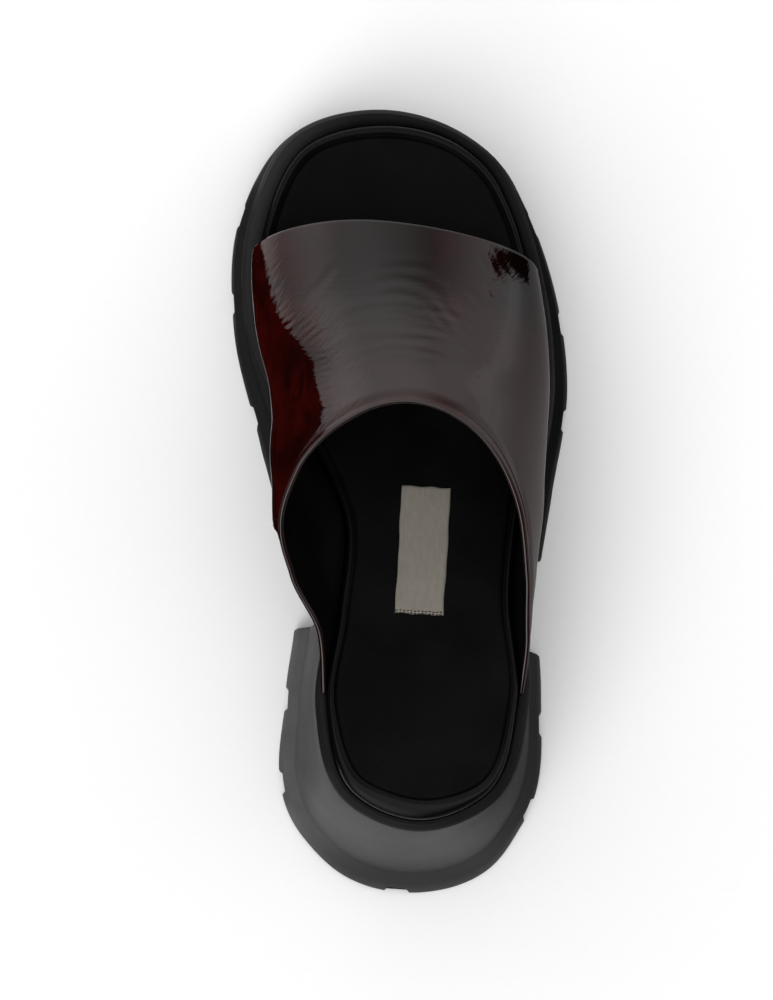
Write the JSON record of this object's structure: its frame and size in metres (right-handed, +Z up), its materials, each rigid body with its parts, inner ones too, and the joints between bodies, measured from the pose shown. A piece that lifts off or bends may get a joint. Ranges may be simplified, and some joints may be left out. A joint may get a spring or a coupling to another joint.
{
  "type": "heeled mule",
  "caption": "Right-foot open-toe heeled mule with a broad patent band upper, padded footbed and a lugged rubber unit sole with platform, arched waist and flared heel",
  "frame": {"origin": "on the floor under the middle of the shoe's plan", "axes": "+Z up, +Y towards the toe, +X towards the outer side of the right foot"},
  "size_m": [0.1164, 0.2701, 0.1013],
  "materials": {
    "sole_rubber": "matte moulded rubber, dark grey",
    "welt_rubber": "smooth black rubber with a low sheen",
    "footbed_leather": "smooth black leather with a soft gloss",
    "sock_leather": "smooth black leather, low sheen",
    "patent_leather": "high-gloss dark red patent leather",
    "label_weave": "plain cream woven tape"
  },
  "bodies": {
    "root": {"outsole": "sole_rubber", "welt": "welt_rubber", "footbed": "footbed_leather", "sock": "sock_leather", "upper": "patent_leather", "label": "label_weave"}
  },
  "joints": []
}
